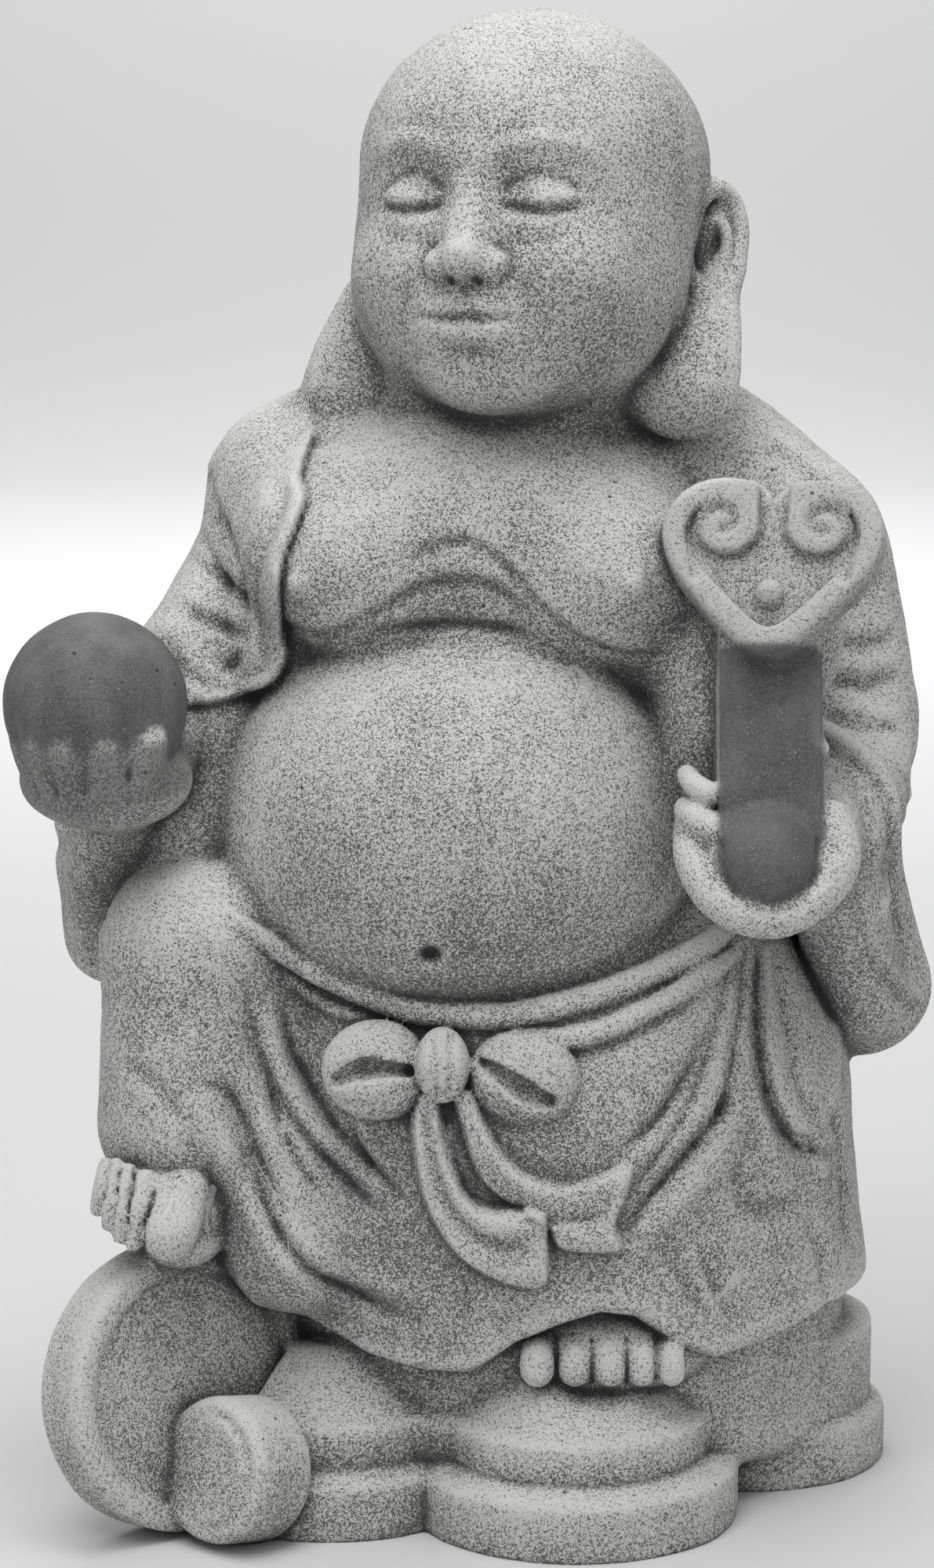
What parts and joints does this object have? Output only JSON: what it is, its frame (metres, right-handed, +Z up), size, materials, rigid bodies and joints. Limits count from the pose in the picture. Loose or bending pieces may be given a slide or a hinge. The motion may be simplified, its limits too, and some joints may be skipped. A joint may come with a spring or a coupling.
{
  "type": "laughing monk garden statue",
  "caption": "Cast-stone garden statue of a stout laughing monk on a lobed plinth, holding a ball and a sceptre, one foot on a coin.",
  "frame": {"origin": "on the flat underside, below the middle of the plinth", "axes": "+Z up through the head, the figure faces -Y, its own right hand with the ball is on the -X side"},
  "size_m": [0.3128, 0.2254, 0.4996],
  "materials": {
    "cast_stone": "matt sandy grey, darker in the hollows and rubbed pale on the high places"
  },
  "bodies": {
    "root": {"budai_statue": "cast_stone"}
  },
  "joints": []
}
